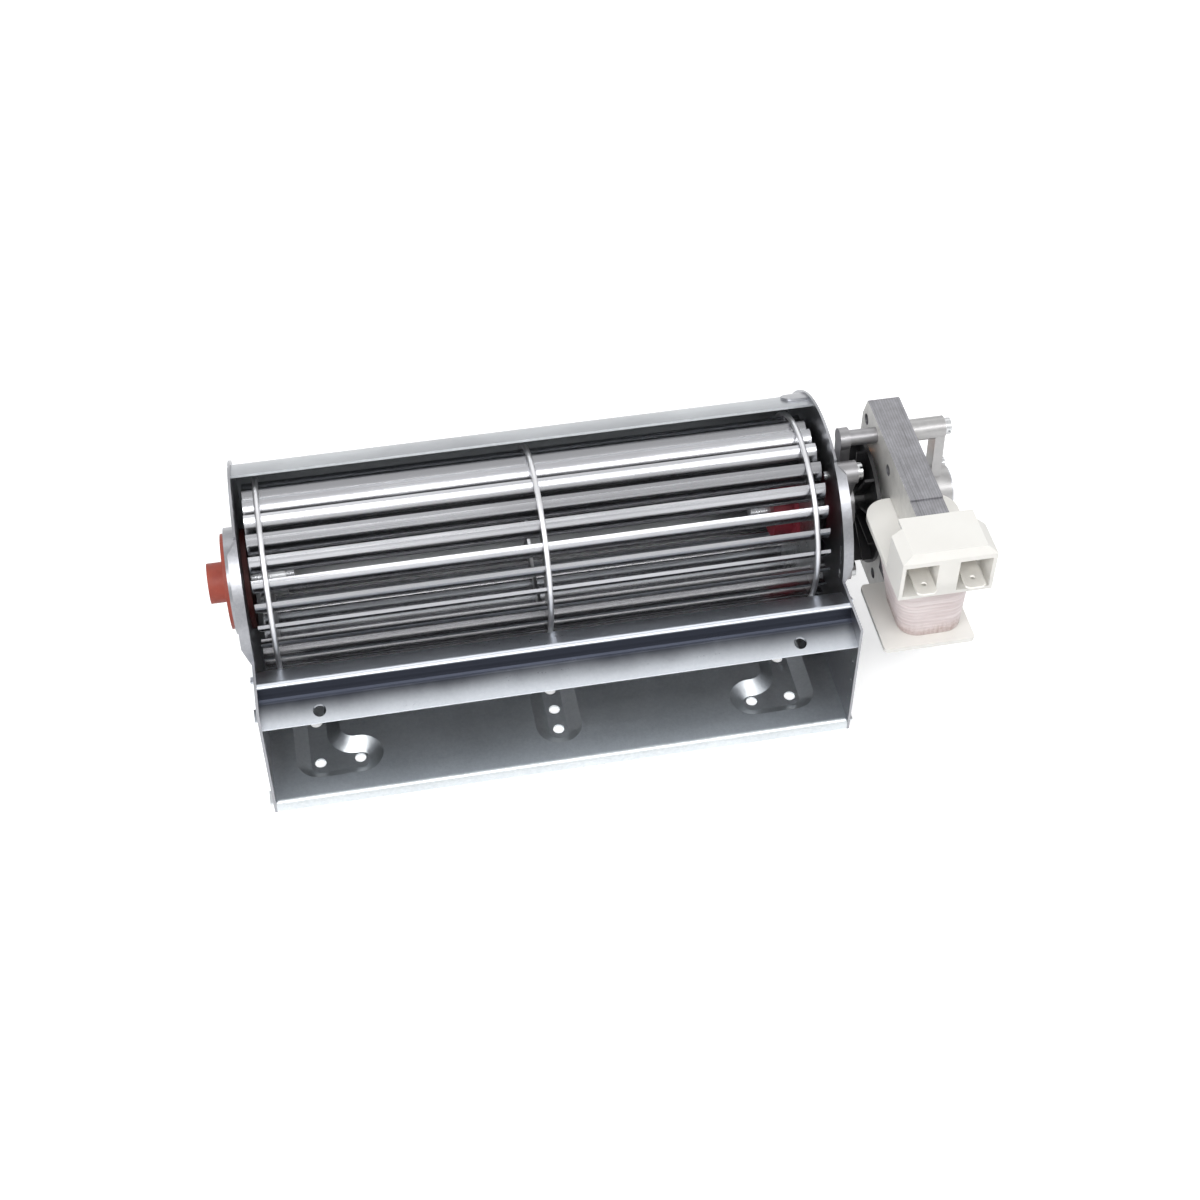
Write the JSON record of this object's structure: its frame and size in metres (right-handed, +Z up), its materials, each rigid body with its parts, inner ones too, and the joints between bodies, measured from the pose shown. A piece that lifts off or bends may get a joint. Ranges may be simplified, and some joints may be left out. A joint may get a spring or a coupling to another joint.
{
  "type": "oven fan motor",
  "caption": "Tangential oven cooling fan: an aluminium drum impeller in a folded steel scroll housing, driven by a shaded-pole motor with blade terminals on the right-hand end plate.",
  "frame": {"origin": "centre of the four corner holes of the mounting pads, on the mounting plane under the housing", "axes": "+X along the impeller towards the motor, +Y towards the back of the scroll (air leaves towards -Y), +Z up from the mounting plane"},
  "size_m": [0.2438, 0.105, 0.0837],
  "materials": {
    "galvanised_sheet": "galvanised, faint spangle",
    "drum_aluminium": "satin, rolled strip",
    "bright_wire": "drawn wire, bright",
    "orange_silicone": "matt silicone",
    "dark_red_silicone": "matt silicone",
    "die_cast": "die-cast, slightly grainy",
    "laminations": "bare punched edges",
    "black_plastic": "moulded",
    "white_plastic": "moulded",
    "winding_tape": "wrapped tape over the windings",
    "copper": "bare copper",
    "sintered_bronze": "sintered, oiled",
    "ground_steel": "ground",
    "plated_steel": "zinc plated",
    "tinned_brass": "tinned"
  },
  "bodies": {
    "housing": {"scroll_housing": "galvanised_sheet", "tongue_sheet": "galvanised_sheet", "left_end_plate": "galvanised_sheet", "right_end_plate": "galvanised_sheet", "bearing_mount": "orange_silicone", "idle_bearing": "sintered_bronze", "front_bracket": "die_cast", "rear_bracket": "die_cast", "front_bearing": "sintered_bronze", "rear_bearing": "sintered_bronze", "bearing_cap": "plated_steel", "bearing_cap_screws": "plated_steel", "bracket_screws": "plated_steel", "plate_screws": "plated_steel", "stator_core": "laminations", "coil_core": "laminations", "shading_rings": "copper", "bobbin": "white_plastic", "coil_winding": "copper", "winding_tape": "winding_tape", "terminal_lid": "white_plastic", "blade_terminals": "tinned_brass"},
    "impeller": {"idle_shaft": "ground_steel", "impeller_blades": "drum_aluminium", "left_end_disc": "drum_aluminium", "right_end_disc": "drum_aluminium", "middle_support_ring": "drum_aluminium", "left_wire_ring": "bright_wire", "middle_wire_ring": "bright_wire", "right_wire_ring": "bright_wire", "drive_hub": "dark_red_silicone", "motor_shaft": "ground_steel", "rotor_core": "laminations", "rotor_cage": "drum_aluminium", "rotor_spacer": "sintered_bronze", "thrust_washers": "black_plastic", "cooling_fan": "black_plastic"}
  },
  "joints": [
    {"name": "impeller_spin", "type": "hinge", "parent": "housing", "child": "impeller", "pos_m": [0, 0.0326, 0.047], "axis": [1, 0, 0], "continuous": true}
  ]
}
